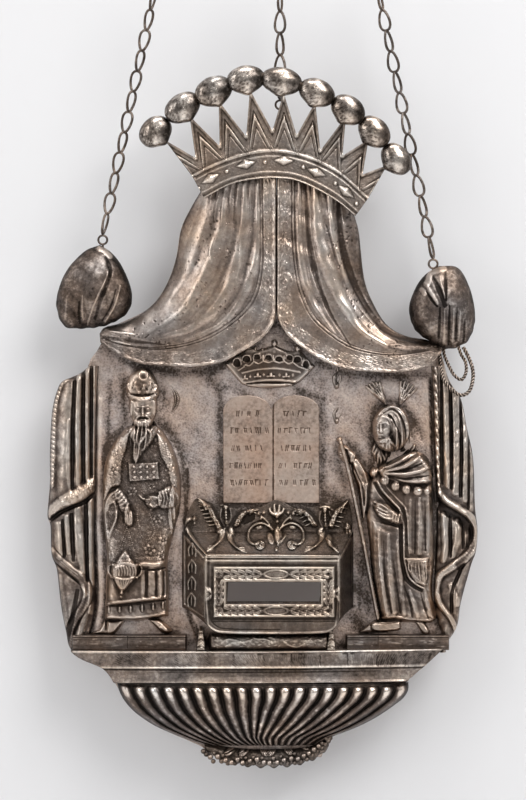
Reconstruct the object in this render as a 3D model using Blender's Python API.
"""A silver torah shield that hangs by three chains.

A raised field sheet with a priest figure and a staff bearer between side curtains, a draped canopy under
a crown of nine balls, law tablets, a box for name plates, a ledge, a gadrooned bowl and a berry garland.
Metres, +Z up, the front faces -Y. Drawn places are millimetres right of the middle and up from the
garland's foot; depths are millimetres forward of the field.
"""

import math

import bmesh
import bpy
import numpy as np
from mathutils import Matrix, Vector

for old in list(bpy.data.objects):
    bpy.data.objects.remove(old, do_unlink=True)

# Whole shield
SHIELD_HEIGHT = 0.380        # garland's foot to the top of the crown
SHIELD_WIDTH = 0.235         # over the side curtains
DRAWN_HEIGHT = 380.0         # the same two on the drawing, in millimetres
DRAWN_WIDTH = 235.0
SHEET = 0.0012               # wall of the raised sheets
GAP = 0.0003                 # solder line between two pieces

# Name plate box
WINDOW_WIDTH = 0.0506
WINDOW_HEIGHT = 0.0116
WINDOW_CLEARANCE = 0.0015    # by which the field's hole is larger all round
BOX_WALL = 0.0013
BOX_DEPTH = 0.0200

# Chains
WIRE = 0.00130
LINK_PITCH = 0.01155
LINK_WIDE = 0.0035           # outer radius of a link's wide end
LINK_NARROW = 0.0021
RING_RADIUS = 0.0052         # to the middle of the ring's wire
RING_WIRE = 0.0014
LUG_RADIUS = 0.0024          # of the small eyes that the chains start from
LUG_WIRE = 0.0012

# Smaller pieces
TABLET_THICKNESS = 0.0016
BOWL_DEPTH = 0.0200
LEDGE_DEPTH = 0.0170
KNOT_DEPTH = 0.0140
CROWN_BULGE = 0.0078
CROWN_BASE = 0.0094          # how far the crown's ends stand in front of the field
BERRY_RADIUS = 0.0019
ROPE_RADIUS = 0.0013
LOBES = 20
BALLS = 9

KX = SHIELD_WIDTH / DRAWN_WIDTH
KZ = SHIELD_HEIGHT / DRAWN_HEIGHT
MM = 0.001
SUNK = 0.5 * SHEET           # how deep a relief's foot is sunk in its sheet
LIP = 0.25                   # upright edge of a relief, in millimetres
FLAT = math.radians(0.6)     # faces that bend less than this are one face


def smooth_curve(points, per_span):
    """Points along a smooth curve through the given ones."""
    p = np.array(points, float)
    ends = np.vstack([2 * p[0] - p[1], p, 2 * p[-1] - p[-2]])
    out = []
    for i in range(1, len(ends) - 2):
        a, b, c, d = ends[i - 1:i + 3]
        for t in np.arange(per_span) / per_span:
            out.append(0.5 * (2 * b + (c - a) * t + (2 * a - 5 * b + 4 * c - d) * t ** 2
                              + (3 * b - a - 3 * c + d) * t ** 3))
    out.append(p[-1])
    return np.array(out)


def closed_curve(points, per_span):
    """The same round a closed outline."""
    p = list(points)
    whole = smooth_curve([p[-1]] + p + [p[0], p[1]], per_span)
    return whole[per_span:-per_span - 1]


def along(curve, shares):
    """Points at the given shares of a curve's length."""
    steps = np.linalg.norm(np.diff(curve, axis=0), axis=1)
    run = np.concatenate([[0], np.cumsum(steps)])
    return np.column_stack([np.interp(np.array(shares) * run[-1], run, curve[:, k])
                            for k in range(curve.shape[1])])


def across_at(curve, height):
    """Where a curve that runs up or down crosses a height."""
    order = np.argsort(curve[:, 1])
    return np.interp(height, curve[order, 1], curve[order, 0])


def from_drawing(x, z, depth):
    """A drawn place in metres."""
    return Vector((x * KX, -depth * MM, z * KZ))


def make_object(name, mesh, material, flat_angle=35.0):
    mesh.shade_smooth()
    mesh.set_sharp_from_angle(angle=math.radians(flat_angle))
    mesh.materials.clear()
    mesh.materials.append(material)
    obj = bpy.data.objects.new(name, mesh)
    bpy.context.scene.collection.objects.link(obj)
    return obj


def closed_mesh(name, points, faces):
    """A closed body with its faces turned outwards."""
    bm = bmesh.new()
    verts = [bm.verts.new(p) for p in points]
    for face in faces:
        bm.faces.new([verts[i] for i in face])
    bmesh.ops.recalc_face_normals(bm, faces=bm.faces)
    bm.normal_update()
    bmesh.ops.dissolve_limit(bm, angle_limit=FLAT, verts=bm.verts, edges=bm.edges)
    bmesh.ops.triangulate(bm, faces=bm.faces)
    mesh = bpy.data.meshes.new(name)
    bm.to_mesh(mesh)
    bm.free()
    return mesh


def sheet_mesh(name, front, wall):
    """A sheet with a front grid of points (rows, columns, xyz) and a back set behind it by its wall."""
    rows, columns = front.shape[:2]
    flat = front.reshape(-1, 3)
    count = len(flat)
    points = np.vstack([flat, flat + (0, wall, 0)])
    faces = []
    for i in range(rows - 1):
        for j in range(columns - 1):
            a = i * columns + j
            quad = (a, a + 1, a + columns + 1, a + columns)
            faces.append(quad)
            faces.append(tuple(count + k for k in reversed(quad)))
    rim = list(range(columns - 1))
    rim += [i * columns + columns - 1 for i in range(rows - 1)]
    rim += [(rows - 1) * columns + j for j in range(columns - 1, 0, -1)]
    rim += [i * columns for i in range(rows - 1, 0, -1)]
    for a, b in zip(rim, rim[1:] + rim[:1]):
        faces.append((a, a + count, b + count, b))
    return closed_mesh(name, [tuple(p) for p in points], faces)


def ringed_mesh(name, rings, closed=False):
    """A body through rings of points, with flat ends, or running back into itself."""
    sides = len(rings[0])
    points = [p for ring in rings for p in ring]
    faces = []
    spans = len(rings) if closed else len(rings) - 1
    for i in range(spans):
        for j in range(sides):
            a = i * sides
            b = ((i + 1) % len(rings)) * sides
            faces.append((a + j, a + (j + 1) % sides, b + (j + 1) % sides, b + j))
    if not closed:
        faces.append(tuple(range(sides)))
        faces.append(tuple(range(len(points) - sides, len(points))))
    return closed_mesh(name, points, faces)


def relief(stations, sides=6, folds=0, fold_depth=0.0, place=from_drawing, foot=None):
    """A half-round form laid on a sheet. A station is x, z, half width, depth of its edge and height."""
    foot = -SUNK if foot is None else foot
    s = np.array(stations, float)
    heading = np.gradient(s[:, :2], axis=0)
    heading /= np.linalg.norm(heading, axis=1)[:, None]
    rings = []
    for (x, z, half, edge, height), (hx, hz) in zip(s, heading):
        ring = []
        for k in range(sides + 1):
            angle = math.pi * k / sides
            swell = 1 + fold_depth * math.cos(2 * folds * angle)
            off = half * math.cos(angle)
            p = place(x + hz * off, z - hx * off, LIP + edge + height * math.sin(angle) * swell)
            ring.append(p)
        first, last = ring[0], ring[-1]
        ring.append(Vector((last.x, -foot, last.z)))
        ring.append(Vector((first.x, -foot, first.z)))
        rings.append(ring)
    return ringed_mesh("relief", rings)


def ball_mesh(name, centre, radii, turn=0.0, segments=8, rings=5):
    """An egg-shaped ball, turned in the shield's plane."""
    bm = bmesh.new()
    bmesh.ops.create_uvsphere(bm, u_segments=segments, v_segments=rings, radius=1.0)
    shape = (Matrix.Translation(centre) @ Matrix.Rotation(turn, 4, "Y")
             @ Matrix.Diagonal((radii[0], radii[1], radii[2], 1.0)))
    bmesh.ops.transform(bm, matrix=shape, verts=bm.verts)
    bmesh.ops.triangulate(bm, faces=bm.faces)
    mesh = bpy.data.meshes.new(name)
    bm.to_mesh(mesh)
    bm.free()
    return mesh


def slab_mesh(name, outline, back, front):
    """A flat plate with a closed outline of drawn places, between two depths in metres."""
    rings = [[Vector((x * KX, -depth, z * KZ)) for x, z in outline] for depth in (back, front)]
    return ringed_mesh(name, rings)


def tube_mesh(name, path, radius, sides=4, closed=False):
    """A round wire along a path."""
    path = [Vector(p) for p in path]
    count = len(path)
    rings = []
    guide = None
    for i, p in enumerate(path):
        after = path[(i + 1) % count] if closed or i < count - 1 else p
        before = path[i - 1] if closed or i > 0 else p
        heading = (after - before).normalized()
        if guide is None:
            guide = heading.cross(Vector((0.37, 0.83, 0.41))).normalized()
        if closed:
            guide = (path[1] - path[0]).cross(path[2] - path[0]).normalized()
        across = heading.cross(guide).normalized()
        guide = across.cross(heading).normalized()
        rings.append([p + radius * (math.cos(t) * across + math.sin(t) * guide)
                      for t in (math.tau * (k + 0.3) / sides for k in range(sides))])
    return ringed_mesh(name, rings, closed)


def fused(name, first, others, material, cutters=(), keep=1.0):
    """One body made of several, less the cutters, with the slivers along its seams thinned."""
    obj = make_object(name, first, material)
    guides = bpy.data.collections.new(name + " parts")
    for operation, meshes in (("UNION", others), ("DIFFERENCE", cutters)):
        if not meshes:
            continue
        group = bpy.data.collections.new(name + " " + operation.lower())
        guides.children.link(group)
        for mesh in meshes:
            group.objects.link(bpy.data.objects.new(name + " part", mesh))
        change = obj.modifiers.new(operation.lower(), "BOOLEAN")
        change.operation = operation
        change.operand_type = "COLLECTION"
        change.collection = group
        change.solver = "EXACT"
    if keep < 1:
        thinner = obj.modifiers.new("thin", "DECIMATE")
        thinner.ratio = keep
    bpy.context.scene.collection.children.link(guides)
    bpy.context.view_layer.update()
    whole = obj.evaluated_get(bpy.context.evaluated_depsgraph_get())
    mesh = bpy.data.meshes.new_from_object(whole)
    bpy.context.scene.collection.children.unlink(guides)
    for part in list(guides.all_objects):
        bpy.data.objects.remove(part, do_unlink=True)
    obj.modifiers.clear()
    obj.data = mesh
    bm = bmesh.new()
    bm.from_mesh(mesh)
    bmesh.ops.dissolve_limit(bm, angle_limit=FLAT, verts=bm.verts, edges=bm.edges)
    bmesh.ops.triangulate(bm, faces=bm.faces)
    bm.to_mesh(mesh)
    bm.free()
    mesh.materials.clear()
    mesh.materials.append(material)
    return obj


def metal(name, colour, roughness, metallic=1.0):
    material = bpy.data.materials.new(name)
    material.use_nodes = True
    shader = material.node_tree.nodes["Principled BSDF"]
    shader.inputs["Base Color"].default_value = (*colour, 1.0)
    shader.inputs["Roughness"].default_value = roughness
    shader.inputs["Metallic"].default_value = metallic
    return material


FIELD_SILVER = metal("field silver", (0.30, 0.26, 0.24), 0.45)
DRAPED_SILVER = metal("draped silver", (0.36, 0.31, 0.29), 0.40)
CROWN_SILVER = metal("crown silver", (0.42, 0.38, 0.35), 0.35)
BALL_SILVER = metal("ball silver", (0.52, 0.47, 0.43), 0.25)
TABLET_SILVER = metal("tablet silver", (0.50, 0.41, 0.35), 0.40)
DARK_SILVER = metal("dark silver", (0.16, 0.14, 0.13), 0.40)
CHAIN_SILVER = metal("chain silver", (0.25, 0.22, 0.20), 0.40)

# Outlines of the field sheet, from the crown's band to the bowl's foot
LEFT_EDGE = [(-37.6, 311.4), (-48.5, 296.2), (-52.3, 276.0), (-57.7, 261.3), (-65.6, 250.4),
             (-78.4, 242.3), (-94.7, 234.6), (-97.4, 225.9), (-104.0, 215.0), (-116.0, 210.1),
             (-120.9, 192.2), (-123.6, 161.1), (-124.1, 136.6), (-121.4, 114.3), (-116.0, 87.6),
             (-111.1, 64.2), (-92.0, 51.2), (-80.6, 36.5), (-68.0, 26.1), (-53.9, 19.6),
             (-39.2, 14.2), (-33.8, 4.9)]
RIGHT_EDGE = [(39.7, 304.9), (43.6, 291.8), (46.8, 265.7), (51.7, 252.1), (59.3, 240.1),
              (71.3, 233.0), (82.7, 230.8), (92.0, 225.4), (98.5, 210.1), (102.3, 199.8),
              (107.2, 177.5), (108.9, 155.7), (110.0, 128.5), (106.2, 108.9), (99.6, 82.2),
              (94.7, 68.6), (74.6, 51.2), (62.6, 34.8), (45.2, 24.0), (28.9, 16.9), (22.9, 4.9)]

# The rows lie closer where the outline bends fast
FIELD_COLUMNS = (0.0, 0.035, 0.07, 0.105, 0.14, 0.2, 0.35, 0.5, 0.65, 0.8, 0.86, 0.895, 0.93, 0.965, 1.0)
CURTAIN_FOLDS = (2.5, 7.5, 4.0, 7.0, 0.0)
CURTAIN_TOP = 213.9
CURTAIN_FOOT = 64.2


def field_depth(column, z):
    """The folds of the side curtains, from the sheet's edge inwards."""
    inwards = min(column, len(FIELD_COLUMNS) - 1 - column)
    if inwards >= len(CURTAIN_FOLDS):
        return 0.0
    share = (CURTAIN_TOP - z) / (CURTAIN_TOP - CURTAIN_FOOT)
    if share <= 0 or share >= 1:
        return 0.0
    swell = math.sin(math.pi * share) ** 0.35
    gather = 1 - 0.35 * math.exp(-((share - 0.55) / 0.12) ** 2)
    return CURTAIN_FOLDS[inwards] * swell * gather


def field_sheet():
    left = smooth_curve(LEFT_EDGE, 4)
    right = smooth_curve(RIGHT_EDGE, 4)
    heights = np.concatenate([np.linspace(left[0, 1], CURTAIN_TOP, 9)[:-1],
                              np.linspace(CURTAIN_TOP, CURTAIN_FOOT, 15)[:-1],
                              np.linspace(CURTAIN_FOOT, left[-1, 1], 6)])
    grid = np.zeros((len(heights), len(FIELD_COLUMNS), 3))
    for i, z in enumerate(heights):
        x0 = across_at(left, z)
        x1 = across_at(right, z)
        for j, share in enumerate(FIELD_COLUMNS):
            grid[i, j] = from_drawing(x0 + (x1 - x0) * share, z, field_depth(j, z))
    return sheet_mesh("field", grid, SHEET)


# The priest figure, drawn from its foot line in millimetres of its own height
PRIEST_HEIGHT = 0.1437
PRIEST_DRAWN = 143.7
PRIEST_FOOT = (-72.4, 72.9)


def priest_place(x, z, depth):
    k = PRIEST_HEIGHT / PRIEST_DRAWN
    return Vector((PRIEST_FOOT[0] * KX + x * k, -depth * k, PRIEST_FOOT[1] * KZ + z * k))


def priest_figure():
    robe = relief([(1.1, 105.6, 14, 0, 7), (0.5, 80.0, 17, 0, 9.3),
                   (0.5, 47.4, 17, 0, 9), (-2.7, 6.0, 18, 0, 8)],
                  sides=8, folds=4, fold_depth=0.06, place=priest_place)
    mantle_left = relief([(-9.8, 106.7, 4, 0, 6), (-15.2, 82.7, 6.5, 0, 8.5),
                          (-17.4, 49.5, 3, 0, 7)], sides=4, place=priest_place)
    mantle_right = relief([(11.4, 106.7, 4, 0, 6), (16.9, 82.7, 6.5, 0, 8.5),
                           (16.9, 50.6, 3, 0, 7)], sides=4, place=priest_place)
    head = relief([(0.5, 111.1, 5.5, 0, 8), (0.5, 119.8, 8, 0, 11.5), (0.5, 127.4, 8, 0, 11.5)],
                  sides=6, place=priest_place)
    beard = relief([(0.5, 118.1, 6.5, 0, 12), (-0.5, 105.6, 6, 0, 12.4), (-3.3, 94.2, 1, 0, 11)],
                   sides=5, place=priest_place)
    band = relief([(0.5, 126.3, 8.6, 0, 12.6), (0.5, 130.1, 8.6, 0, 12.8)], sides=5, place=priest_place)
    mitre = relief([(0.3, 129.0, 7.8, 0, 11.5), (0.3, 135.6, 9, 0, 12.5),
                    (0.3, 143.7, 2.5, 0, 8)], sides=5, place=priest_place)
    breastplate = relief([(1.4, 82.2, 8.4, 9.6, 1.6), (1.1, 92.0, 8.2, 9.0, 1.6)], sides=2,
                         place=priest_place)
    right_arm = relief([(19.6, 82.7, 4, 3, 7), (14.2, 72.4, 4, 6, 7), (-1.6, 74.0, 1.0, 9, 3)],
                       sides=4, place=priest_place)
    left_arm = relief([(-16.3, 87.1, 4, 3, 7), (-13.6, 70.2, 4, 6, 7), (-7.1, 58.8, 1.0, 9, 3)],
                      sides=4, place=priest_place)
    censer = relief([(-10.9, 20.1, 1.0, 8, 2), (-10.9, 24.0, 1.4, 8, 3), (-10.3, 29.9, 6, 8, 5),
                     (-9.3, 37.0, 7.2, 8, 6), (-8.2, 44.1, 0.9, 8, 2)], sides=5, place=priest_place)
    censer_chain = relief([(-8.7, 43.6, 0.7, 8, 2), (-8.2, 50.1, 0.7, 8, 3.2),
                           (-7.6, 58.3, 0.7, 8, 3.4)], sides=2, place=priest_place)
    hem = relief([(-2.7, 9.3, 18.8, 0, 9.3), (-2.7, 15.8, 18.8, 0, 9.3)], sides=6,
                 place=priest_place)
    foot_left = relief([(-13.1, 6.5, 4.6, 0, 10), (-17.4, -0.5, 3.6, 0, 9.5)], sides=4,
                       place=priest_place)
    foot_right = relief([(9.8, 6.5, 4.6, 0, 10), (11.4, -0.5, 4.6, 0, 9.5)], sides=4,
                        place=priest_place)
    return [robe, mantle_left, mantle_right, head, beard, band, mitre, breastplate, right_arm, left_arm,
            censer, censer_chain, hem, foot_left, foot_right]


# The staff bearer, drawn the same way
BEARER_HEIGHT = 0.1236
BEARER_DRAWN = 123.6
BEARER_FOOT = (67.0, 72.9)


def bearer_place(x, z, depth):
    k = BEARER_HEIGHT / BEARER_DRAWN
    return Vector((BEARER_FOOT[0] * KX + x * k, -depth * k, BEARER_FOOT[1] * KZ + z * k))


def bearer_figure():
    robe = relief([(1.6, 93.6, 10, 0, 7), (1.6, 71.9, 14.5, 0, 9.2), (2.2, 39.2, 15.5, 0, 9),
                   (3.8, 7.6, 15, 0, 8)],
                  sides=8, folds=4, fold_depth=0.08, place=bearer_place)
    cape = relief([(0.5, 102.3, 9, 0, 8), (1.6, 90.9, 13.6, 0, 11), (2.2, 77.8, 15, 0, 11)],
                  sides=8, folds=4, fold_depth=0.07, place=bearer_place)
    hood = relief([(-2.2, 100.2, 9.4, 0, 10), (-3.3, 113.2, 10, 0, 11.5), (-2.2, 123.6, 3, 0, 8)],
                  sides=5, place=bearer_place)
    face = relief([(-7.6, 101.3, 4.4, 0, 12), (-7.1, 108.9, 5.6, 0, 13.4), (-6.0, 115.4, 4.6, 0, 12.5)],
                  sides=5, place=bearer_place)
    beard = relief([(-7.6, 104.5, 5, 0, 13), (-8.7, 98.0, 4.4, 0, 12.6), (-9.3, 89.3, 1, 0, 11)],
                   sides=4, place=bearer_place)
    raised_arm = relief([(-12.0, 84.9, 5.5, 0, 9), (-19.6, 88.2, 6, 1, 9), (-26.1, 93.6, 4, 3, 7),
                         (-31.6, 97.4, 2, 4, 5)], sides=4, place=bearer_place)
    sleeve = relief([(-17.4, 88.2, 6, 0, 8), (-17.4, 61.0, 1.6, 0, 6)], sides=4, place=bearer_place)
    second_arm = relief([(14.2, 73.5, 5, 2, 9), (1.1, 65.3, 4.2, 5, 8), (-13.1, 66.4, 1.6, 7, 4)],
                        sides=4, place=bearer_place)
    staff = relief([(-11.4, 8.7, 0.9, 0, 10.4), (-31.0, 101.3, 0.9, 0, 9.6)], sides=2,
                   place=bearer_place)
    staff_head = relief([(-31.0, 99.6, 1.6, 0, 9), (-32.7, 104.0, 2.4, 0, 9), (-33.8, 110.0, 0.8, 0, 7)],
                        sides=4, place=bearer_place)
    stole = relief([(-7.6, 74.0, 3.2, 6, 5), (3.3, 55.5, 3.2, 6, 6.2), (10.9, 25.0, 6.2, 6, 4)],
                   sides=3, place=bearer_place)
    back_fall = relief([(14.2, 88.2, 4, 0, 8), (16.9, 61.0, 4.4, 0, 8), (18.0, 17.4, 3, 0, 7)],
                       sides=4, place=bearer_place)
    foot_left = relief([(-5.4, 8.2, 4, 0, 9), (-16.3, 1.1, 5, 0, 9.5)], sides=4, place=bearer_place)
    foot_right = relief([(14.7, 8.2, 4, 0, 9), (15.8, -0.5, 3.2, 0, 9.5)], sides=4,
                        place=bearer_place)
    rays = [relief([(-3.8, 123.0, 0.7, 0, 4), (x, 135.6, 1.6, 0, 3)], sides=2, place=bearer_place)
            for x in (-12.5, 5.4)]
    return [robe, cape, hood, face, beard, raised_arm, sleeve, second_arm, staff, staff_head, stole,
            back_fall, foot_left, foot_right] + rays


SMALL_CROWN_MIDDLE = -2.7


def small_reliefs():
    """The small crown over the tablets, the feather, the flames, the steps and the curtains' ribbons."""
    foot_z = 206.3
    crown = [relief([(-16.9, foot_z, 2.2, 0, 3.5), (-3.3, foot_z - 1, 2.2, 0, 5),
                     (10.3, foot_z, 2.2, 0, 3.5)], sides=4)]
    for tip in (-22.9, -15.2, -7.6, 0.5, 8.7, 17.4):
        base = SMALL_CROWN_MIDDLE + (tip - SMALL_CROWN_MIDDLE) * 0.45
        crown.append(relief([(base, foot_z, 2.4, 0, 4), ((tip + base) / 2, 214.5, 1.4, 0, 4.5),
                             (tip, 222.1, 1.8, 0, 4)], sides=3))
    feather = relief([(-57.7, 207.4, 0.8, 0, 1.6), (-56.1, 200.3, 2.4, 0, 2.4),
                      (-51.7, 192.7, 0.7, 0, 1.4)], sides=3)
    flames = [relief([(34.0, z - 6, 0.8, 0, 1.5), (33.8, z, 2.2, 0, 2.4),
                      (34.6, z + 6, 0.6, 0, 1.4)], sides=3) for z in (211.8, 192.7)]
    steps = [relief([(x0, 68.6, 3.6, 9, 2.5), (x1, 68.6, 3.6, 9, 2.5)], sides=2)
             for x0, x1 in ((-97.4, -47.4), (38.7, 93.1))]
    left_ribbon = smooth_curve([(-120.9, 114.3), (-113.8, 108.9), (-104.0, 100.7), (-102.9, 91.5),
                                (-107.8, 83.3), (-111.6, 74.6), (-111.6, 68.0)], 1)
    right_ribbon = smooth_curve([(90.4, 146.4), (100.7, 138.8), (106.7, 128.5), (100.2, 112.1),
                                 (89.8, 104.5), (88.7, 95.8), (92.5, 86.0), (96.9, 76.2)], 1)
    left_swag = smooth_curve([(-99.1, 153.5), (-107.2, 149.2), (-116.0, 143.2), (-121.4, 136.6)], 1)
    ribbons = [relief([(x, z, 2.0, 0, 9.0) for x, z in line], sides=3)
               for line in (left_ribbon, right_ribbon, left_swag)]
    ropes = [relief([(x, z, 2.0, 0, 8.5) for x, z in smooth_curve(line, 1)], sides=3)
             for line in ([(-113.2, 208.5), (-117.6, 196.5), (-119.8, 177.5), (-120.9, 154.1)],
                          [(87.6, 211.2), (87.1, 193.8), (87.6, 172.0), (88.2, 149.7)])]
    return crown + [feather] + flames + steps + ribbons + ropes


WINDOW_CENTRE = (-0.8, 95.2)
CUT_REACH = 0.004            # by which a cut goes past the metal on both sides


def window_cutter(grow, back, front):
    """The window's hole, grown all round, between two depths in metres."""
    centre = (WINDOW_CENTRE[0] * KX, -(back + front) / 2, WINDOW_CENTRE[1] * KZ)
    size = (WINDOW_WIDTH + 2 * grow, front - back, WINDOW_HEIGHT + 2 * grow)
    bm = bmesh.new()
    bmesh.ops.create_cube(bm, size=1.0, matrix=Matrix.LocRotScale(centre, None, size))
    mesh = bpy.data.meshes.new("window")
    bm.to_mesh(mesh)
    bm.free()
    return mesh


# Knot outlines, and the flat straps behind the field sheet that carry the two knots
LEFT_KNOT = [(-95.3, 283.6), (-104.0, 279.8), (-113.8, 268.9), (-118.7, 255.3), (-118.1, 246.6),
             (-113.8, 239.0), (-100.7, 238.4), (-89.8, 240.6), (-80.0, 247.2), (-77.8, 257.5),
             (-82.7, 271.1), (-88.7, 279.3)]
RIGHT_KNOT = [(89.3, 272.2), (99.6, 271.1), (106.2, 259.7), (108.9, 245.5), (107.2, 235.7),
              (102.9, 229.7), (92.5, 227.0), (82.2, 232.5), (75.7, 238.4), (72.9, 249.3),
              (76.8, 260.8), (82.2, 267.8)]
STRAP_DEPTH = (-0.0010, -0.0001)
STRAP_HALF = 5.0


def strap(start, end):
    """A flat bar between two drawn places, just behind the front of the field."""
    a = np.array(start, float)
    b = np.array(end, float)
    heading = (b - a) / np.linalg.norm(b - a)
    off = STRAP_HALF * np.array([heading[1], -heading[0]])
    return slab_mesh("strap", [a + off, b + off, b - off, a - off], *STRAP_DEPTH)


straps = [strap((-84.4, 226.5), (-96.9, 255.9)), strap((81.7, 222.1), (99.1, 229.2))]
fused("field_plate", field_sheet(), priest_figure() + bearer_figure() + small_reliefs() + straps,
      FIELD_SILVER, cutters=[window_cutter(WINDOW_CLEARANCE, -CUT_REACH, CUT_REACH)], keep=0.6)

# Canopy: a draped sheet, hung from the crown's band and parted over the tablets
CANOPY_TOP = [(-38.7, 313.6), (-19.1, 324.5), (0.5, 329.9), (20.1, 323.4), (40.8, 306.0)]
CANOPY_LEFT = [(-38.7, 313.6), (-47.4, 299.4), (-51.2, 291.8), (-53.9, 276.0), (-59.3, 261.3),
               (-67.2, 250.4), (-80.0, 242.3), (-94.7, 235.7)]
CANOPY_RIGHT = [(40.8, 306.0), (45.2, 291.8), (48.5, 265.7), (53.4, 252.1), (61.0, 240.1),
                (71.3, 234.1), (82.2, 231.4), (91.5, 225.9)]
LEFT_HEM = [(-94.7, 235.7), (-94.7, 230.3), (-85.5, 223.7), (-73.5, 218.8), (-58.3, 217.8),
            (-43.3, 217.2), (-28.3, 219.1), (-18.0, 225.4), (-7.1, 233.0), (0.5, 245.0)]
RIGHT_HEM = [(0.5, 245.0), (4.9, 235.7), (9.3, 231.9), (23.4, 222.1), (37.0, 216.7), (53.4, 214.5),
             (67.0, 214.5), (77.3, 215.6), (86.0, 217.8), (91.5, 225.9)]
CANOPY_SEAM = [(0.5, 329.9), (0.5, 245.0)]
CANOPY_FRONT = 13.0
CANOPY_EDGE = 1.6
FOLD_DEPTH = 1.8
HEM_WIDTH = 8.5
HEM_STEP = 1.2


def canopy_depth(u, v, to_hem):
    """Depth at a share across (0 and 1 at the outer edges) and down the canopy."""
    inwards = 1 - abs(2 * u - 1)
    round_off = math.sin(0.5 * math.pi * min(1.0, inwards / 0.35)) ** 0.7
    folds = FOLD_DEPTH * math.cos(math.tau * 4.5 * inwards + 0.6) * (0.2 + 0.8 * v)
    flare = 1 - 0.35 * v * (1 - inwards)
    depth = CANOPY_EDGE + (CANOPY_FRONT - CANOPY_EDGE) * round_off * flare + folds * round_off
    return depth + (HEM_STEP if to_hem < HEM_WIDTH else 0.0)


def canopy_half(outer, hem, columns, shares, left_side):
    """Places on one half of the canopy: a patch between its outer edge, seam, band and hem."""
    side = along(smooth_curve(outer, 6), shares)
    seam = along(smooth_curve(CANOPY_SEAM, 2), shares)
    band = smooth_curve(CANOPY_TOP, 6)
    middle = len(band) // 2
    top = along(band[:middle + 1] if left_side else band[middle:][::-1], columns)
    low = along(smooth_curve(hem if left_side else hem[::-1], 6), columns)
    grid = np.zeros((len(shares), len(columns), 2))
    for i, v in enumerate(shares):
        for j, u in enumerate(columns):
            ruled = (1 - u) * side[i] + u * seam[i] + (1 - v) * top[j] + v * low[j]
            corners = ((1 - u) * (1 - v) * top[0] + u * (1 - v) * top[-1]
                       + (1 - u) * v * low[0] + u * v * low[-1])
            grid[i, j] = ruled - corners
    return grid


def canopy():
    columns = np.linspace(0, 1, 10)
    shares = np.array([0, 0.18, 0.36, 0.54, 0.7, 0.82, 0.9, 0.92, 1.0])
    left = canopy_half(CANOPY_LEFT, LEFT_HEM, columns, shares, True)
    right = canopy_half(CANOPY_RIGHT, RIGHT_HEM, columns, shares, False)
    places = np.concatenate([left, right[:, -2::-1]], axis=1)
    across = np.linspace(0, 1, places.shape[1])
    grid = np.zeros((*places.shape[:2], 3))
    for i, v in enumerate(shares):
        for j, u in enumerate(across):
            to_hem = np.linalg.norm(places[-1, j] - places[i, j])
            depth = canopy_depth(u, v, to_hem)
            grid[i, j] = from_drawing(*places[i, j], depth)
    return sheet_mesh("canopy", grid, SHEET)


make_object("canopy", canopy(), DRAPED_SILVER)

# Crown: an arched band with nine points, bowed forwards
BAND_LOW = [(-39.2, 308.7), (-28.9, 313.6), (-14.7, 319.6), (2.7, 322.3), (19.1, 318.5),
            (33.2, 309.2), (44.1, 298.9)]
BAND_HIGH = [(-44.6, 320.1), (-34.3, 326.6), (-19.1, 332.6), (-1.6, 335.4), (16.9, 332.1),
             (34.3, 323.4), (50.1, 308.7)]
TIPS = [(-59.9, 339.7), (-46.3, 352.8), (-30.5, 360.4), (-13.6, 366.4), (4.4, 365.3), (21.8, 359.8),
        (38.1, 352.2), (50.6, 339.7), (61.5, 326.1)]
VALLEYS = [(-43.0, 331.5), (-29.9, 338.1), (-15.8, 344.1), (-1.6, 347.9), (11.4, 345.1), (25.0, 334.3),
           (37.0, 332.1), (47.4, 322.3)]
CROWN_MIDDLE = 0.5
CROWN_HALF = 62.0
CROWN_SHEET = 0.0014
POINT_RIM = 0.9
STUD = 1.7


def crown_depth(x):
    share = min(1.0, abs(x - CROWN_MIDDLE) / CROWN_HALF)
    return (CROWN_BASE + CROWN_BULGE * (1 - share ** 2)) / MM


def crown_sheet():
    """The band and the points above it, in columns from the left end to the right."""
    tops = [TIPS[0]]
    for valley, tip in zip(VALLEYS, TIPS[1:]):
        tops += [valley, tip]
    spots = np.linspace(0, 1, len(tops))
    low = along(smooth_curve(BAND_LOW, 6), spots)
    high = along(smooth_curve(BAND_HIGH, 6), spots)
    rows = ((0.0, 0.8), (0.12, 0.8), (0.2, 0.0), (0.8, 0.0), (0.88, 0.8), (1.0, 0.8))
    grid = np.zeros((len(rows) + 3, len(spots), 3))
    for j in range(len(spots)):
        for i, (share, lift) in enumerate(rows):
            x, z = low[j] + (high[j] - low[j]) * share
            grid[i, j] = from_drawing(x, z, crown_depth(x) + lift)
        inner = 0.5 if j % 2 else 0.74
        for i, (share, lift) in enumerate(((0.12, 0.0), (inner, 0.0), (1.0, POINT_RIM)), len(rows)):
            x, z = high[j] + (tops[j] - high[j]) * share
            grid[i, j] = from_drawing(x, z, crown_depth(x) + lift)
    return sheet_mesh("crown", grid, CROWN_SHEET)


def loop_mesh(name, centre, radius, wire, axis, segments=10, sides=4):
    """A round ring of wire about an axis."""
    turn = Vector((0, 0, 1)).rotation_difference(Vector(axis)).to_matrix()
    path = [Vector(centre) + turn @ Vector((radius * math.cos(t), radius * math.sin(t), 0))
            for t in (math.tau * k / segments for k in range(segments))]
    return tube_mesh(name, path, wire, sides, closed=True)


MIDDLE_LUG = (2.7, 359.3)
MIDDLE_LUG_BACK = 6.6        # how far the middle chain hangs behind the crown's sheet


def lug(place, depth):
    """A small upright eye for a chain's lowest link, facing sideways."""
    centre = from_drawing(*place, depth)
    return loop_mesh("lug", centre, LUG_RADIUS, LUG_WIRE / 2, (0, 1, 0), 6)


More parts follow.
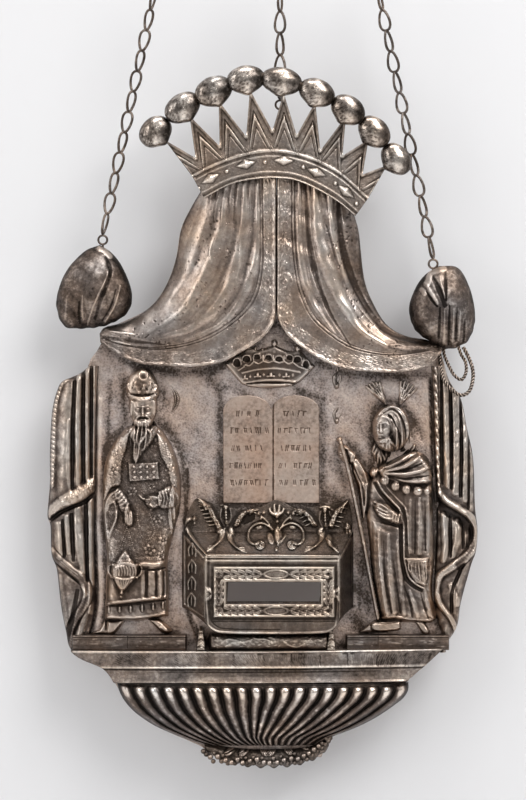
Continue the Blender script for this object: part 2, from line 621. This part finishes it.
def crown():
    sheet = crown_sheet()
    extras = []
    middle = (np.array(BAND_LOW) + np.array(BAND_HIGH)) / 2
    line = smooth_curve(middle, 6)
    for k, (x, z) in enumerate(along(line, np.linspace(0.06, 0.94, 11))):
        long = STUD * (2.2 if k % 2 else 1.0)
        extras.append(ball_mesh("stud", from_drawing(x, z, crown_depth(x)),
                                (long * MM, 1.8 * MM, STUD * MM), segments=4, rings=3))
    x, z = MIDDLE_LUG
    back = crown_depth(x) - CROWN_SHEET / MM
    stem = [from_drawing(4.4, 352.8, back + 0.6), from_drawing(x, z - 2.0, back - MIDDLE_LUG_BACK)]
    extras.append(tube_mesh("stem", stem, LUG_WIRE / 2, 4))
    extras.append(lug(MIDDLE_LUG, back - MIDDLE_LUG_BACK))
    return fused("crown", sheet, extras, CROWN_SILVER, keep=0.75)


crown()

# Crown balls: hollow eggs that touch side to side, each soldered over its point
BALL_CENTRES = [(-65.3, 345.7), (-50.1, 358.8), (-33.8, 367.5), (-15.8, 373.5), (3.8, 372.9),
                (22.9, 366.9), (39.2, 358.2), (54.4, 345.7), (66.4, 331.0)]
BALL_HEIGHT = 0.0150
BALL_THICKNESS = 0.0110
BALL_LIFT = 2.0


def crown_balls():
    centres = [from_drawing(x, z, crown_depth(x) + BALL_LIFT) for x, z in BALL_CENTRES]
    for k, centre in enumerate(centres):
        gaps = [(centre - other).length for other in centres[max(0, k - 1):k] + centres[k + 1:k + 2]]
        half = min(gaps) / 2 - GAP
        before = centres[max(0, k - 1)]
        after = centres[min(BALLS - 1, k + 1)]
        turn = -math.atan2(after.z - before.z, after.x - before.x)
        tip = from_drawing(*TIPS[k], crown_depth(TIPS[k][0]))
        room = (centre - tip).length - 2 * GAP
        radii = (half, BALL_THICKNESS / 2, min(BALL_HEIGHT / 2, room))
        mesh = ball_mesh("ball", centre, radii, turn, 7, 5)
        make_object("crown_ball_%d" % (k + 1), mesh, BALL_SILVER)


crown_balls()

# Curtain knots: hollow pleated shells at the canopy's two corners
PLEATS = 8
KNOT_RINGS = (0.12, 0.55, 0.85, 1.0)
KNOT_REST = 0.6              # depth of a knot's rim
LUG_RISE = 1.6               # how far a knot's eye stands in front of its rim


def knot_shell(outline):
    closed = np.vstack([closed_curve(outline, 4), outline[0]])
    rim = along(closed, np.linspace(0, 1, 2 * PLEATS + 1)[:-1])
    middle = rim.mean(axis=0)
    rings = []
    for wall in (0.0, SHEET / MM):
        for share in (KNOT_RINGS if wall == 0.0 else KNOT_RINGS[::-1]):
            ring = []
            for k, (x, z) in enumerate(rim):
                pleat = (0.9 if k % 2 else -0.9) * share
                depth = KNOT_REST + wall_depth(share, wall) + pleat * (1 - share ** 6)
                spot = middle + (np.array([x, z]) - middle) * share
                ring.append(from_drawing(*spot, depth))
            rings.append(ring)
    return ringed_mesh("knot", rings)


def wall_depth(share, wall):
    """The shell's rise over its rim, less its wall behind."""
    return (KNOT_DEPTH / MM) * (1 - share ** 2) ** 0.6 + SHEET / MM - wall


def knot(name, outline, lug_place):
    x, z = lug_place
    depth = KNOT_REST + LUG_RISE
    stem = tube_mesh("stem", [from_drawing(x, z - 2.2, depth), from_drawing(x, z - 7.0, depth + 1.0)],
                     LUG_WIRE / 2, 4)
    fused(name, knot_shell(outline), [stem, lug(lug_place, depth)], DARK_SILVER, keep=0.75)


LEFT_LUG = (-93.6, 286.4)
RIGHT_LUG = (86.0, 273.3)
knot("curtain_knot_left", LEFT_KNOT, LEFT_LUG)
knot("curtain_knot_right", RIGHT_KNOT, RIGHT_LUG)

# Rope loops: two hairpins of twisted wire under the right knot
ROPE_REST = 1.75
ROPE_LEAN = 0.42             # forward for each millimetre down, to clear the curtain


def rope_place(x, z):
    return from_drawing(x, z, ROPE_REST + ROPE_LEAN * max(0.0, ROPE_TOP - z))


def rope_loops():
    bends = []
    for low, spread in ((202.0, 1.0), (210.1, 0.52)):
        left, right = 99.1 - 7.6 * spread, 99.1 + 7.6 * spread
        line = smooth_curve([(left, ROPE_TOP), (left + 1.0, (ROPE_TOP + low) / 2),
                             (100.2 - 3.4 * spread, low + 2), (100.2, low),
                             (100.2 + 3.4 * spread, low + 2), (right, (ROPE_TOP + low) / 2),
                             (right, ROPE_TOP)], 2)
        bends.append(tube_mesh("rope", [rope_place(x, z) for x, z in line],
                               ROPE_RADIUS * (1.0 if spread == 1.0 else 0.8), 4))
    bar = tube_mesh("bar", [rope_place(99.1 + k, ROPE_TOP - 0.5) for k in (-9.2, 9.2)],
                    ROPE_RADIUS, 4)
    fused("rope_loops", bends[0], [bends[1], bar], DARK_SILVER)


ROPE_TOP = 223.2
rope_loops()

# Law tablets: one smooth plate with two round heads and a groove between them
TABLETS_LEFT = -28.3
TABLETS_RIGHT = 24.2
TABLETS_FOOT = 143.2
TABLETS_SHOULDER = 192.2
TABLETS_HEAD = 201.7
GROOVE = 0.0008


def law_tablets():
    middle = (TABLETS_LEFT + TABLETS_RIGHT) / 2
    half = (TABLETS_RIGHT - TABLETS_LEFT) / 4
    outline = [(TABLETS_LEFT, TABLETS_FOOT), (TABLETS_RIGHT, TABLETS_FOOT)]
    for centre in (middle + half, middle - half):
        for k in range(9):
            angle = math.pi * k / 8
            if centre < middle and k == 0:
                continue
            rise = (TABLETS_HEAD - TABLETS_SHOULDER) * math.sin(angle) ** 0.75 if 0 < k < 8 else 0.0
            outline.append((centre + half * math.cos(angle), TABLETS_SHOULDER + rise))
    plate = slab_mesh("tablets", outline, GAP, GAP + TABLET_THICKNESS)
    bm = bmesh.new()
    size = (GROOVE, TABLET_THICKNESS, 2 * (TABLETS_HEAD - TABLETS_FOOT) * KZ)
    centre = (middle * KX, -(GAP + TABLET_THICKNESS * 1.1), (TABLETS_HEAD + TABLETS_FOOT) / 2 * KZ)
    bmesh.ops.create_cube(bm, size=1.0, matrix=Matrix.LocRotScale(centre, None, size))
    groove = bpy.data.meshes.new("groove")
    bm.to_mesh(groove)
    bm.free()
    fused("law_tablets", plate, [], TABLET_SILVER, cutters=[groove])


law_tablets()

# Plate box: an ark-shaped box with canted sides, open behind, with a crested top
BOX_FRONT = (-37.8, 34.8, 72.9, 115.4)
BOX_BACK = (-50.6, 42.8, 86.6, 127.9)
CREST_OUTLINE = [(-48.5, 126.8), (-47.4, 136.1), (-42.5, 145.4), (-34.3, 143.2), (-26.7, 142.1),
                 (-18.0, 138.8), (-9.3, 136.6), (-2.7, 141.5), (0.5, 143.2), (3.8, 141.5),
                 (10.3, 136.6), (19.1, 138.8), (27.8, 142.1), (35.4, 143.2), (40.3, 144.8),
                 (42.5, 135.0), (41.9, 125.2)]
CREST_MIDDLE = 0.0
CREST_BACK = 0.0020
CREST_FRONT = 0.0034
CREST_FOOT = 3.3


def corner_ring(rect, depth, inset):
    x0, x1, z0, z1 = rect
    return [Vector((x * KX + sx * inset, -depth, z * KZ + sz * inset))
            for x, sx, z, sz in ((x0, 1, z0, 1), (x1, -1, z0, 1), (x1, -1, z1, -1), (x0, 1, z1, -1))]


def plate_box():
    base = GAP
    front = base + BOX_DEPTH
    outer = ringed_mesh("box", [corner_ring(BOX_BACK, base, 0), corner_ring(BOX_FRONT, front, 0)])
    inner = ringed_mesh("room", [corner_ring(BOX_BACK, base - 0.001, BOX_WALL),
                                 corner_ring(BOX_FRONT, front - BOX_WALL, BOX_WALL)])
    top = front / MM
    crest_low = [(x, z) for x, z in CREST_OUTLINE] + [(38.7, 114.3), (-41.9, 114.3)]
    crest = slab_mesh("crest", crest_low, CREST_BACK, CREST_FRONT)
    wings = []
    for side in (-1, 1):
        for spots in ([(37.0, 118.7, 3), (34.3, 128.5, 5), (28.2, 138.3, 4), (27.2, 142.6, 1.4)],
                      [(12.0, 118.7, 3), (16.3, 128.5, 5), (20.7, 136.6, 4), (24.0, 142.1, 1.4)]):
            stations = [(CREST_MIDDLE + side * out, z, half, CREST_FOOT, 4.0) for out, z, half in spots]
            wings.append(relief(stations, 3, foot=CREST_BACK + 0.0006))
        x = CREST_MIDDLE + side * 25.0
        wings.append(relief([(x, 116.5, 4.0, CREST_FOOT, 6.6), (x, 128.5, 3.2, CREST_FOOT, 5.6),
                             (x, 138.3, 1.0, CREST_FOOT, 2)], 4, foot=CREST_BACK + 0.0006))
        x = CREST_MIDDLE + side * 7.6
        wings.append(relief([(x, 117.6, 2.6, CREST_FOOT, 5), (x + side * 3, 125.2, 4.2, CREST_FOOT, 4),
                             (x, 131.7, 2.0, CREST_FOOT, 3)], 3, foot=CREST_BACK + 0.0006))
    palmette = [relief([(CREST_MIDDLE, 116.5, 3, CREST_FOOT, 5),
                        (CREST_MIDDLE + lean * 0.5, 129.6, 2.6, CREST_FOOT, 4),
                        (CREST_MIDDLE + lean, 139.9 - abs(lean) * 0.5, 1, CREST_FOOT, 2)], 3,
                       foot=CREST_BACK + 0.0006) for lean in (-6.5, 0.0, 6.5)]
    frame = frame_bars(top)
    cushion = relief([(-31.6, 68.6, 4.2, 1, 15), (30.5, 68.6, 4.2, 1, 15)], 4,
                     foot=base)
    feet = [relief([(x, 76.2, 2.6, 1, 16), (x, 67.0, 2.0, 1, 17)], 4, foot=base)
            for x in (-38.7, 30.5)]
    lugs = [ball_mesh("shell lug", from_drawing(x, 95.3, top - 1.6), (3.0 * MM, 2.0 * MM, 4.0 * MM))
            for x in (-37.6, 35.4)]
    cut = window_cutter(0.0, -CUT_REACH, front + CUT_REACH)
    fused("plate_box", outer, [crest] + wings + palmette + frame + [cushion] + feet + lugs,
          FIELD_SILVER, cutters=[inner, cut], keep=0.75)


FRAME_OUTER = (-33.2, 32.1, 81.9, 109.4)


def frame_bars(depth):
    """The laurel frame round the window: four raised half-round bars on the box's front."""
    x0, x1, z0, z1 = FRAME_OUTER
    half = 2.6
    lift = 1.3
    foot = (depth - 0.6) * MM
    bars = []
    for z in (z0 + half, z1 - half):
        bars.append(relief([(x0, z, half, depth - 0.3, lift), (x1, z, half, depth - 0.3, lift)], 4,
                           foot=foot))
    for x in (x0 + half, x1 - half):
        bars.append(relief([(x, z0, half, depth - 0.3, lift * 0.9),
                            (x, z1, half, depth - 0.3, lift * 0.9)], 4, foot=foot))
    return bars


plate_box()

# Ledge: the platform with its cove, and the gadrooned bowl under it
LEDGE_LEFT = -111.6
LEDGE_RIGHT = 95.8
COVE_LEFT = -89.8
COVE_RIGHT = 72.9
LEDGE_STEPS = 16
LEDGE_ENDS = 9.5             # depth of the ledge where it meets the curtains


def ledge_front(share):
    """How far the front stands out along the ledge, as a share of its depth."""
    return max(0.0, 1 - abs(2 * share - 1) ** 3.2) ** 0.5


def ledge():
    """The platform over its cove, its ends drawn in towards the bowl as the field's edges are."""
    rows = ((0.0, 1.0), (0.0, 1.0), (0.62, 1.0), (0.70, 0.9), (0.86, 0.86), (1.0, 0.95), (1.0, 0.6))
    heights = (63.7, 63.7, 54.4, 52.8, 49.0, 46.5, 46.5)
    rings = []
    for k in range(LEDGE_STEPS + 1):
        share = 0.02 + 0.96 * k / LEDGE_STEPS
        ring = []
        for k_row, ((narrow, out), z) in enumerate(zip(rows, heights)):
            x0 = LEDGE_LEFT + (COVE_LEFT - LEDGE_LEFT) * narrow
            x1 = LEDGE_RIGHT + (COVE_RIGHT - LEDGE_RIGHT) * narrow
            depth = LEDGE_ENDS + (LEDGE_DEPTH / MM - LEDGE_ENDS) * ledge_front(share) * out
            x = x0 + (x1 - x0) * share
            ring.append(from_drawing(x, z, GAP / MM if k_row == 0 else depth))
        ring[-1] = from_drawing(ring[-2].x / KX, heights[-1], GAP / MM)
        rings.append(ring)
    return make_object("ledge", ringed_mesh("ledge", rings), FIELD_SILVER)


ledge()

BOWL_LEFT = [(-86.0, 45.7), (-81.7, 35.4), (-70.2, 25.0), (-56.1, 18.0), (-40.8, 12.0)]
BOWL_RIGHT = [(72.9, 45.7), (65.3, 33.8), (46.8, 22.3), (29.4, 15.8), (27.8, 12.0)]
LOBE_HEIGHT = 2.2
BOWL_RIM = 1.6               # depth of the bowl's edge where it meets the field


def bowl():
    left = smooth_curve(BOWL_LEFT, 5)
    right = smooth_curve(BOWL_RIGHT, 5)
    heights = 45.7 + (12.0 - 45.7) * np.linspace(0, 1, 5) ** 0.8
    columns = 2 * LOBES + 1
    grid = np.zeros((len(heights), columns, 3))
    for i, z in enumerate(heights):
        x0 = across_at(left, z)
        x1 = across_at(right, z)
        down = (heights[0] - z) / (heights[0] - heights[-1])
        for j in range(columns):
            share = j / (columns - 1)
            plan = max(0.0, 1 - abs(2 * share - 1) ** 2.6) ** 0.5
            profile = (1 - 0.75 * down ** 2.2) * (0.94 if i == 0 else 1.0)
            lobe = LOBE_HEIGHT * (0.5 if j % 2 else -0.5) * (1 - 0.5 * down)
            depth = BOWL_RIM + BOWL_DEPTH / MM * plan * profile + lobe * plan
            grid[i, j] = from_drawing(x0 + (x1 - x0) * share, z, depth)
    return make_object("gadrooned_bowl", sheet_mesh("bowl", grid, SHEET), FIELD_SILVER)


bowl()

# Berry garland: a strip of leaves with rows of berries under the bowl
GARLAND_LINE = [(-34.3, 8.2), (-19.1, 5.4), (-3.8, 4.4), (11.4, 5.4), (26.7, 8.7)]
BERRIES = 11
LEAVES = 5
BERRY_DEPTH = 4.6            # of the upper row's middles
BERRY_STEP = 1.6             # by which the lower row lies further back


def garland():
    line = smooth_curve(GARLAND_LINE, 6)
    strip = relief([(x, z - 0.4, 2.8, 1.2, 4.4) for x, z in along(line, np.linspace(0, 1, 8))],
                   4, foot=GAP)
    extras = []
    for row, (drop, count) in enumerate(((0.6, BERRIES), (2.8, BERRIES - 4))):
        for x, z in along(line, np.linspace(0.04 + 0.09 * row, 0.96 - 0.09 * row, count)):
            bm = bmesh.new()
            bmesh.ops.create_icosphere(bm, subdivisions=1, radius=BERRY_RADIUS)
            place = from_drawing(x, z - drop, BERRY_DEPTH - BERRY_STEP * row)
            bmesh.ops.translate(bm, vec=place, verts=bm.verts)
            berry = bpy.data.meshes.new("berry")
            bm.to_mesh(berry)
            bm.free()
            extras.append(berry)
    for k, (x, z) in enumerate(along(line, np.linspace(0.12, 0.88, LEAVES))):
        lean = 4.0 if k % 2 else -4.0
        extras.append(relief([(x, z - 1, 1.4, 1.2, 7), (x + lean * 0.6, z + 1.8, 2.4, 1.2, 8),
                              (x + lean, z + 4.0, 0.6, 1.2, 6.5)], 3, foot=GAP))
    fused("berry_garland", strip, extras, DARK_SILVER, keep=0.6)


garland()

# Chains: pear-shaped links, each turned a quarter against the next, and a ring at the upper end
CHAIN_TOP = 423.5
LEFT_HEAD = -64.8
MIDDLE_HEAD = 2.7
RIGHT_HEAD = 55.5
CHAIN_DEPTH = 8.0
LINK_TURN = math.radians(38)


def link_path(foot, heading, across, length, wide, narrow):
    """The middle line of a pear-shaped wire loop, its narrow end at the foot."""
    path = []
    for k in range(3):
        angle = math.pi * (1 + k / 2)
        path.append((narrow * math.cos(angle), narrow + narrow * math.sin(angle)))
    for k in range(3):
        angle = math.pi * k / 2
        path.append((wide * math.cos(angle), length - wide + wide * math.sin(angle)))
    return [foot + heading * up + across * side for side, up in path]


def chain(name, lug_place, lug_depth, head_x, wide_up):
    """Links from just above a lug's wire up to the ring outside the view."""
    start = from_drawing(lug_place[0], lug_place[1], lug_depth)
    end = from_drawing(head_x, CHAIN_TOP, CHAIN_DEPTH)
    heading = (end - start).normalized()
    wire = WIRE / 2
    start = start + heading * (LUG_RADIUS - LUG_WIRE / 2 - WIRE / 2 - GAP)
    count = round((end - start).length / LINK_PITCH)
    pitch = (end - start).length / count
    length = pitch + 0.9 * WIRE
    side = heading.cross(Vector((0, 1, 0))).normalized()
    front = side.cross(heading).normalized()
    links = []
    for k in range(count):
        angle = LINK_TURN if k % 2 else LINK_TURN - math.pi / 2
        if k in (0, count - 1):
            angle = -math.pi / 2
        across = side * math.cos(angle) + front * math.sin(angle)
        foot = start + heading * pitch * k
        wide, narrow = LINK_WIDE - wire, LINK_NARROW - wire
        if wide_up:
            path = link_path(foot, heading, across, length, wide, narrow)
        else:
            path = link_path(foot + heading * length, -heading, across, length, wide, narrow)
        links.append(tube_mesh("link", path, wire, 3, closed=True))
    fused(name, links[0], links[1:], CHAIN_SILVER, keep=0.68)
    return end, heading, side


def hanging_ring(name, end, heading, side):
    """The ring through the last link, with its eye's top on the suspension line."""
    centre = end + heading * (RING_RADIUS - 0.1 * WIRE - RING_WIRE / 2 - GAP)
    ring = loop_mesh(name, centre, RING_RADIUS, RING_WIRE / 2, heading.cross(side), 12, 4)
    make_object(name, ring, CHAIN_SILVER)
    return centre


knot_lug_depth = KNOT_REST + LUG_RISE
middle_depth = crown_depth(MIDDLE_LUG[0]) - CROWN_SHEET / MM - MIDDLE_LUG_BACK
hanging_ring("hanging_ring_left", *chain("chain_left", LEFT_LUG, knot_lug_depth, LEFT_HEAD, True))
middle_ring = hanging_ring("hanging_ring_middle", *chain("chain_middle", MIDDLE_LUG, middle_depth,
                                                         MIDDLE_HEAD, False))
hanging_ring("hanging_ring_right", *chain("chain_right", RIGHT_LUG, knot_lug_depth, RIGHT_HEAD, False))

# The frame's origin is where the middle ring hangs
root = bpy.data.objects.new("root", None)
bpy.context.scene.collection.objects.link(root)
hung_at = middle_ring + Vector((0, 0, RING_RADIUS - RING_WIRE / 2))
for obj in list(bpy.context.scene.objects):
    if obj.type == "MESH":
        obj.parent = root
root.location = -hung_at
